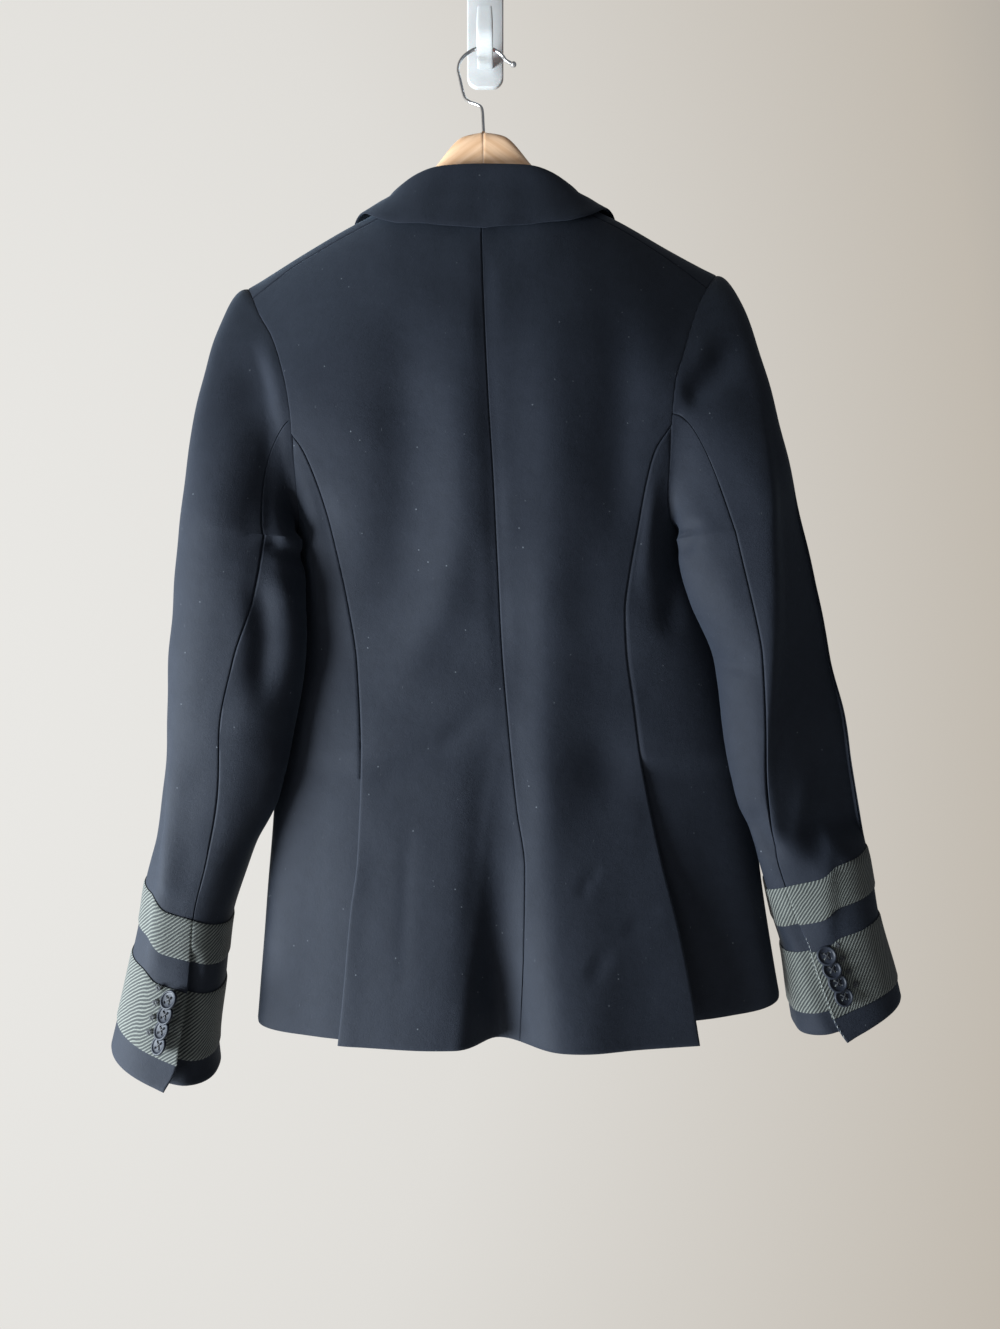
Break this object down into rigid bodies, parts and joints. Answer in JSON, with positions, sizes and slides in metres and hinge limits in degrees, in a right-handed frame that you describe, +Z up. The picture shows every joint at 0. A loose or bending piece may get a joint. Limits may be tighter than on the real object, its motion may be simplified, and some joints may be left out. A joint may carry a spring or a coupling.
{
  "type": "blazer on a wooden hanger and wall hook",
  "caption": "Fitted women's blazer hanging, back to the viewer, on a wooden hanger and wall hook, with banded cuffs, vented back and notched lapels.",
  "frame": {"origin": "middle of the wall hook's back face, on the wall", "axes": "+X to the right as the jacket's back is seen, +Y into the wall, +Z up"},
  "size_m": [0.6309, 0.1412, 0.932],
  "materials": {
    "navy_cloth": "matt napped",
    "grey_twill": "diagonal rib",
    "navy_button": "satin",
    "hanger_wood": "varnished",
    "chrome_wire": "bright",
    "white_plastic": "smooth"
  },
  "bodies": {
    "root": {"back_left": "navy_cloth", "side_left": "navy_cloth", "front_left": "navy_cloth", "lapel_left": "navy_cloth", "sleeve_top_left": "navy_cloth", "band_upper_top_left": "grey_twill", "band_lower_top_left": "grey_twill", "sleeve_under_left": "navy_cloth", "band_upper_under_left": "grey_twill", "band_lower_under_left": "grey_twill", "cuff_button_left_1": "navy_button", "cuff_button_left_2": "navy_button", "cuff_button_left_3": "navy_button", "cuff_button_left_4": "navy_button", "hanger_left": "hanger_wood", "back_right": "navy_cloth", "side_right": "navy_cloth", "front_right": "navy_cloth", "lapel_right": "navy_cloth", "sleeve_top_right": "navy_cloth", "band_upper_top_right": "grey_twill", "band_lower_top_right": "grey_twill", "sleeve_under_right": "navy_cloth", "band_upper_under_right": "grey_twill", "band_lower_under_right": "grey_twill", "cuff_button_right_1": "navy_button", "cuff_button_right_2": "navy_button", "cuff_button_right_3": "navy_button", "cuff_button_right_4": "navy_button", "hanger_right": "hanger_wood", "collar": "navy_cloth", "front_button": "navy_button", "hanger_hook": "chrome_wire", "wall_hook": "white_plastic"}
  },
  "joints": []
}
